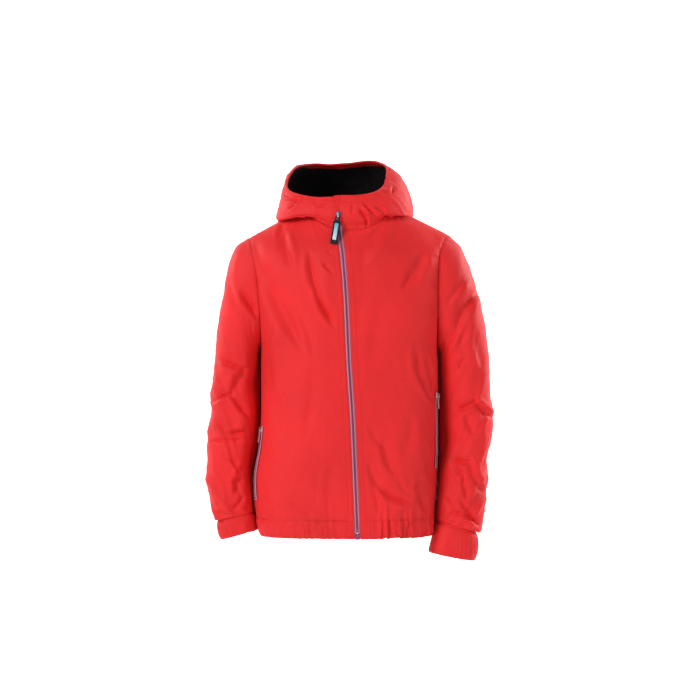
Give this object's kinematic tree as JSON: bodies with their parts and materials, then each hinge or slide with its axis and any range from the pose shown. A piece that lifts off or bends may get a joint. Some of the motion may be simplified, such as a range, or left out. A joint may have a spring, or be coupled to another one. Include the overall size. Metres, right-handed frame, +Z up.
{
  "type": "kids rain jacket",
  "caption": "Hooded child's rain jacket in its hollow worn shape: hood down, front zip closed, sleeves hanging, cuffs, gathered hem and two side pocket zips.",
  "frame": {"origin": "middle of the neck opening at the height where the wearer's shoulders carry the jacket", "axes": "+X to the wearer's left, -Y to the front, +Z up"},
  "size_m": [0.4894, 0.2678, 0.6926],
  "materials": {
    "shell": "fine woven waterproof shell cloth, slight sheen",
    "seam_band": "the same shell cloth folded double over elastic or cord",
    "lining": "black knitted lining",
    "zip_tape": "lilac pink woven zip tape",
    "zip_coil": "purple moulded coil",
    "zip_metal": "satin die-cast metal",
    "pull_rubber": "black moulded rubber with a pale blank inset"
  },
  "bodies": {
    "jacket": {"front_left": "shell", "front_right": "shell", "back": "shell", "hem_front_left": "seam_band", "hem_front_right": "seam_band", "hem_back": "seam_band", "sleeve_left": "shell", "cuff_left": "seam_band", "sleeve_right": "shell", "cuff_right": "seam_band", "hood_left": "shell", "hood_middle": "shell", "hood_right": "shell", "hood_lining": "lining", "hood_facing": "shell", "zip_tape_left": "zip_tape", "zip_tape_right": "zip_tape", "zip_chain": "zip_coil", "zip_box": "zip_coil", "zip_slider": "zip_metal", "pocket_zip_left": "zip_tape", "pocket_left_slider": "zip_metal", "pocket_zip_right": "zip_tape", "pocket_right_slider": "zip_metal"},
    "zip_pull_tab": {"zip_pull": "pull_rubber"},
    "pocket_left_pull_tab": {"pocket_left_pull": "zip_metal"},
    "pocket_right_pull_tab": {"pocket_right_pull": "zip_metal"}
  },
  "joints": [
    {"name": "zip_pull_swing", "type": "hinge", "parent": "jacket", "child": "zip_pull_tab", "pos_m": [-0.01838, -0.08469, 0.00563], "axis": [-0.9902, 0.0971, 0.0999], "range_deg": [0, 110]},
    {"name": "pocket_left_pull_swing", "type": "hinge", "parent": "jacket", "child": "pocket_left_pull_tab", "pos_m": [0.15199, -0.04879, -0.29789], "axis": [-0.3257, -0.9455, 0.0015], "range_deg": [0, 90]},
    {"name": "pocket_right_pull_swing", "type": "hinge", "parent": "jacket", "child": "pocket_right_pull_tab", "pos_m": [-0.15146, -0.04876, -0.35542], "axis": [-0.317, 0.9479, 0.0315], "range_deg": [0, 90]}
  ]
}
